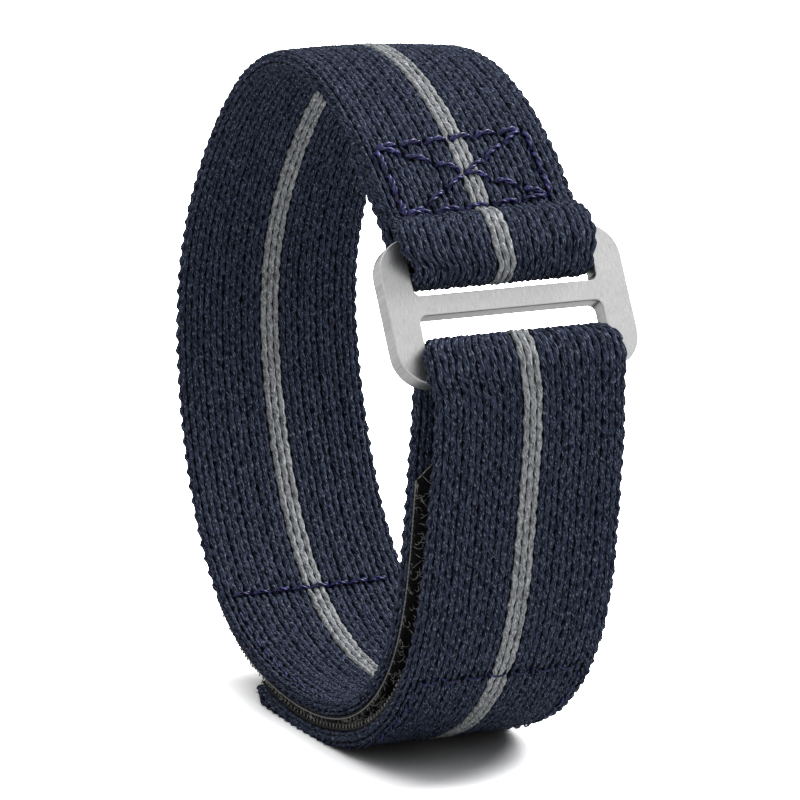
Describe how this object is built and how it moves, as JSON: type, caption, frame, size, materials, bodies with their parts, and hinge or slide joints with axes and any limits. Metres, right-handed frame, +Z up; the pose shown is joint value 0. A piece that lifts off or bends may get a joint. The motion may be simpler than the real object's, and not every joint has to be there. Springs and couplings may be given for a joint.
{
  "type": "hook and loop watch strap",
  "caption": "Woven watch strap with a centre stripe, a flat frame buckle sewn on by a fold, and a tail that turns back and closes on hook and loop tape.",
  "frame": {"origin": "middle of the bottom of the strap's box, on the surface that it stands on", "axes": "+Z up as the closed strap stands; +Y across the webbing, which is symmetric about Y = 0; +X towards the buckle"},
  "size_m": [0.0661, 0.0258, 0.0691],
  "materials": {
    "webbing": "coarse woven, matt",
    "stripe": "coarse woven, matt",
    "thread": "twisted thread with a slight sheen",
    "tape": "flat woven tape",
    "pile": "fuzzy loop pile",
    "hooks": "rows of small moulded hooks",
    "steel": "brushed faces, polished edges"
  },
  "bodies": {
    "band": {"band_webbing": "webbing", "band_stripe_outer": "stripe", "band_stripe_inner": "stripe", "box_stitching": "thread", "loop_tape_backing": "tape", "loop_tape_pile": "pile", "loop_tape_end_stitching": "thread", "loop_tape_edge_stitching": "thread"},
    "buckle": {"buckle_frame": "steel", "wrap_webbing": "webbing", "wrap_stripe_outer": "stripe", "wrap_stripe_inner": "stripe"},
    "tail_1": {"tail_1_webbing": "webbing", "tail_1_stripe_outer": "stripe", "tail_1_stripe_inner": "stripe"},
    "tail_2": {"tail_2_webbing": "webbing", "tail_2_stripe_outer": "stripe", "tail_2_stripe_inner": "stripe", "hook_tape_backing_2": "tape", "hook_tape_hooks_2": "hooks", "hook_tape_stitching_2": "thread"},
    "tail_3": {"tail_3_webbing": "webbing", "tail_3_stripe_outer": "stripe", "tail_3_stripe_inner": "stripe", "hook_tape_backing_3": "tape", "hook_tape_hooks_3": "hooks", "hook_tape_stitching_3": "thread"},
    "tail_4": {"tail_4_webbing": "webbing", "tail_4_stripe_outer": "stripe", "tail_4_stripe_inner": "stripe", "hook_tape_backing_4": "tape", "hook_tape_hooks_4": "hooks", "hook_tape_stitching_4": "thread"}
  },
  "joints": [
    {"name": "buckle_swing", "type": "hinge", "parent": "band", "child": "buckle", "pos_m": [0.02349, 0, 0.05422], "axis": [0, -1, 0], "range_deg": [0, 20]},
    {"name": "tail_bend_1", "type": "hinge", "parent": "buckle", "child": "tail_1", "pos_m": [0.03297, 0, 0.03669], "axis": [0, -1, 0], "range_deg": [0, 30]},
    {"name": "tail_bend_2", "type": "hinge", "parent": "tail_1", "child": "tail_2", "pos_m": [0.0306, 0, 0.0222], "axis": [0, -1, 0], "range_deg": [0, 40]},
    {"name": "tail_bend_3", "type": "hinge", "parent": "tail_2", "child": "tail_3", "pos_m": [0.02226, 0, 0.00724], "axis": [0, -1, 0], "range_deg": [0, 40]},
    {"name": "tail_bend_4", "type": "hinge", "parent": "tail_3", "child": "tail_4", "pos_m": [0.00755, 0, 0.00039], "axis": [0, -1, 0], "range_deg": [0, 40]}
  ]
}
